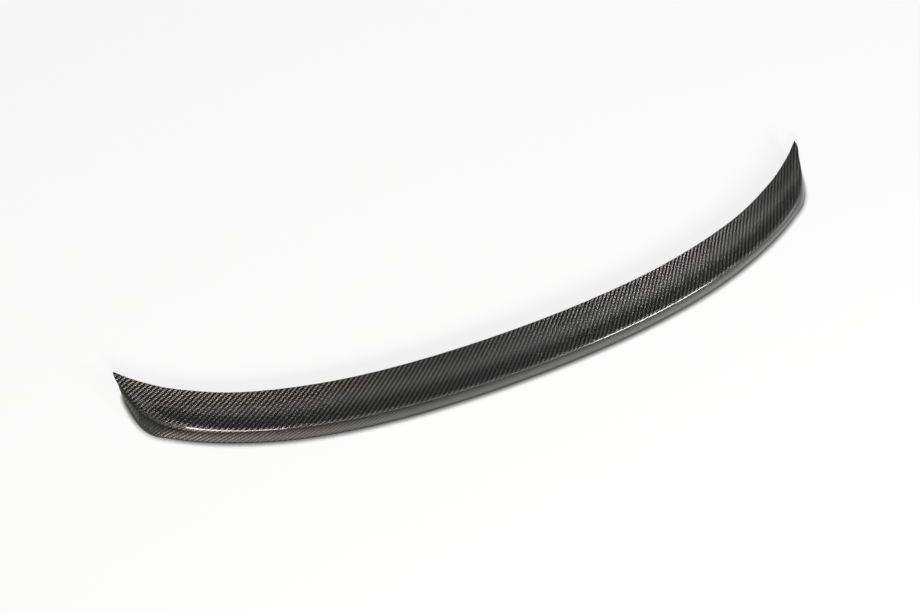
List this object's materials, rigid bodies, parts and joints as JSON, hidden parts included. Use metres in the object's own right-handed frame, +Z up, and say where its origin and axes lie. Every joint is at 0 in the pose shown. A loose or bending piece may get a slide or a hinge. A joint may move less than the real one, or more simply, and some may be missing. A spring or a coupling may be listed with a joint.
{
  "type": "boot lid spoiler",
  "caption": "Crescent lip spoiler for a car's boot lid: a clear-coated carbon-fibre skin, open underneath, with a raised rear lip and pointed tips swept forward.",
  "frame": {"origin": "middle of the spoiler across and along the car, on the plane of the rear bonding land", "axes": "+X across the car, +Y towards the front of the car where the tips point, +Z up from the boot lid"},
  "size_m": [1.2004, 0.2104, 0.0252],
  "materials": {
    "carbon_fibre": "twill-weave carbon fibre under a clear gloss coat"
  },
  "bodies": {
    "root": {"boot_lip_spoiler": "carbon_fibre"}
  },
  "joints": []
}
